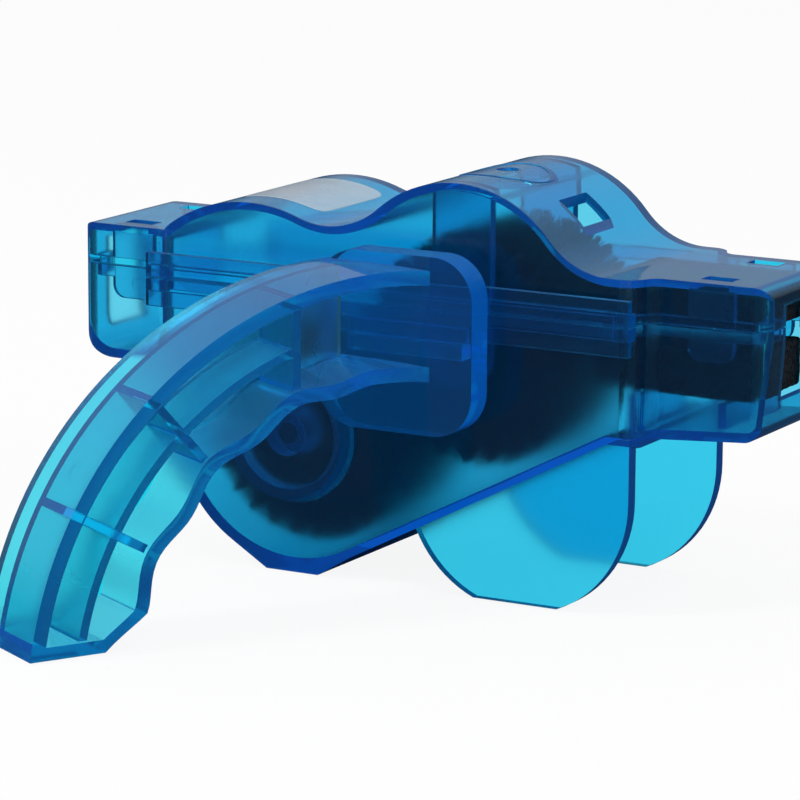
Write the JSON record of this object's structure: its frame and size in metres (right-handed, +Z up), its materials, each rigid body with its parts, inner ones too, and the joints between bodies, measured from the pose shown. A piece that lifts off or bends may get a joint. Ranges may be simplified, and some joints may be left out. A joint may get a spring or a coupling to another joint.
{
  "type": "bike chain cleaner",
  "caption": "Clear blue clip-on bicycle chain cleaner: a tank and humped lid hold geared brush wheels and foam wipers, with a curved side handle.",
  "frame": {"origin": "centre of the flat pad under the lower wheel, on the table", "axes": "+X along the chain's way towards the foam wipers, +Z up, -Y towards the handle"},
  "size_m": [0.145, 0.1231, 0.077],
  "materials": {
    "clear_blue": "clear tinted injection moulding, glossy outside and lightly frosted inside",
    "label_film": "thin clear film, blank",
    "foam": "open-cell black foam",
    "steel": "blackened steel rod",
    "black_plastic": "satin black moulding",
    "bristle": "stiff black nylon"
  },
  "bodies": {
    "housing": {"tank": "clear_blue", "lower_foam": "foam"},
    "lid": {"lid": "clear_blue", "label": "label_film", "upper_foam": "foam"},
    "handle": {"handle": "clear_blue"},
    "lower_wheel": {"lower_axle": "steel", "lower_core": "black_plastic", "lower_bristles": "bristle", "lower_front_gear": "black_plastic", "lower_rear_gear": "black_plastic"},
    "upper_wheel": {"upper_axle": "steel", "upper_core": "black_plastic", "upper_bristles": "bristle", "upper_front_gear": "black_plastic", "upper_rear_gear": "black_plastic"}
  },
  "joints": [
    {"name": "lid_lift", "type": "slide", "parent": "housing", "child": "lid", "axis": [0, 0, 1], "range_m": [0, 0.06]},
    {"name": "handle_slide", "type": "slide", "parent": "housing", "child": "handle", "axis": [-1, 0, 0], "range_m": [0, 0.08]},
    {"name": "lower_spin", "type": "hinge", "parent": "housing", "child": "lower_wheel", "pos_m": [0, 0, 0.027], "axis": [0, 1, 0], "continuous": true},
    {"name": "upper_spin", "type": "hinge", "parent": "lid", "child": "upper_wheel", "pos_m": [0.03459, 0, 0.04501], "axis": [0, 1, 0], "continuous": true}
  ],
  "couplings": [
    {"joint": "upper_spin", "follows": "lower_spin", "ratio": -1}
  ]
}
